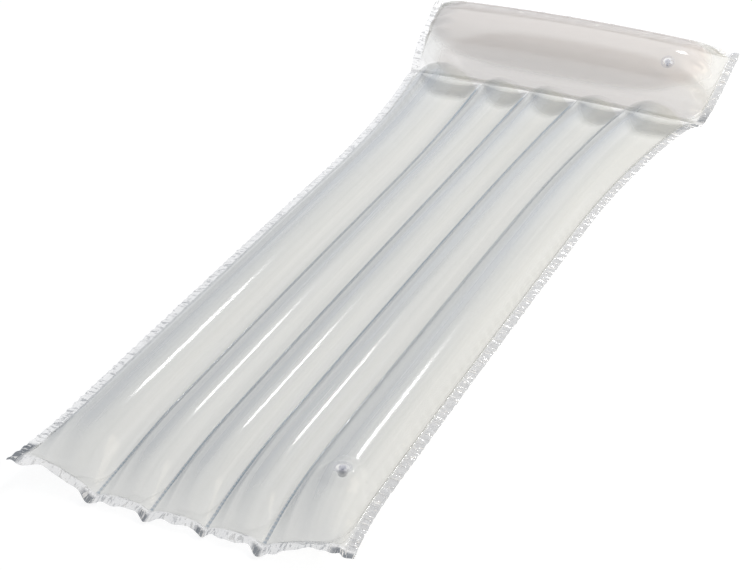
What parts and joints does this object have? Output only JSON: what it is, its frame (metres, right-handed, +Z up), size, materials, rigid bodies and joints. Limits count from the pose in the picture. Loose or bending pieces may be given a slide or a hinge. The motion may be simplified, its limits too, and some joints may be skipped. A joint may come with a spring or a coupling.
{
  "type": "inflatable pool mattress",
  "caption": "Inflatable pool mattress of clear film: lengthwise air tubes, a full-width pillow chamber on a fold line, welded flanges and plugged push-in air valves.",
  "frame": {"origin": "middle of the mattress on the surface it rests on", "axes": "+X to the right for someone at the foot end, +Y from the foot end to the pillow, +Z up"},
  "size_m": [0.66, 1.7422, 0.15],
  "materials": {
    "top_film": "clear soft PVC film, glossy",
    "bottom_film": "clear soft PVC film, glossy",
    "valve_clear": "clear soft PVC moulding",
    "valve_tint": "milky soft PVC moulding"
  },
  "bodies": {
    "bed": {"bed_top_film": "top_film", "bed_bottom_film": "bottom_film", "bed_valve_disc": "valve_clear", "bed_valve_skirt": "valve_clear"},
    "pillow": {"pillow_top_film": "top_film", "pillow_bottom_film": "bottom_film", "pillow_valve_disc": "valve_clear", "pillow_valve_skirt": "valve_clear"},
    "bed_stem": {"bed_valve_stem": "valve_tint"},
    "bed_cap": {"bed_valve_cap": "valve_tint"},
    "bed_flap": {"bed_valve_check_flap": "valve_tint"},
    "pillow_stem": {"pillow_valve_stem": "valve_tint"},
    "pillow_cap": {"pillow_valve_cap": "valve_tint"},
    "pillow_flap": {"pillow_valve_check_flap": "valve_tint"}
  },
  "joints": [
    {"name": "pillow_fold", "type": "hinge", "parent": "bed", "child": "pillow", "pos_m": [0, 0.70187, 0.041], "axis": [1, 0, 0], "range_deg": [-23.2, 30]},
    {"name": "bed_valve_push", "type": "slide", "parent": "bed", "child": "bed_stem", "axis": [0, 0, 1], "range_m": [0, 0.012], "deforming": ["bed_valve_skirt"]},
    {"name": "bed_cap_hinge", "type": "hinge", "parent": "bed_stem", "child": "bed_cap", "pos_m": [0.18596, -0.75363, 0.08215], "axis": [1, 0, 0], "range_deg": [0, 95]},
    {"name": "bed_flap_hinge", "type": "hinge", "parent": "bed_stem", "child": "bed_flap", "pos_m": [0.18596, -0.75033, 0.0697], "axis": [-1, 0, 0], "range_deg": [0, 60], "stiffness_Nm_per_rad": 0.0001},
    {"name": "pillow_valve_push", "type": "slide", "parent": "pillow", "child": "pillow_stem", "axis": [0, -0.6734, 0.7393], "range_m": [0, 0.012], "deforming": ["pillow_valve_skirt"]},
    {"name": "pillow_cap_hinge", "type": "hinge", "parent": "pillow_stem", "child": "pillow_cap", "pos_m": [0.23236, 0.72405, 0.12367], "axis": [1, 0, 0], "range_deg": [0, 95]},
    {"name": "pillow_flap_hinge", "type": "hinge", "parent": "pillow_stem", "child": "pillow_flap", "pos_m": [0.23236, 0.73487, 0.11668], "axis": [-1, 0, 0], "range_deg": [0, 60], "stiffness_Nm_per_rad": 0.0001}
  ]
}
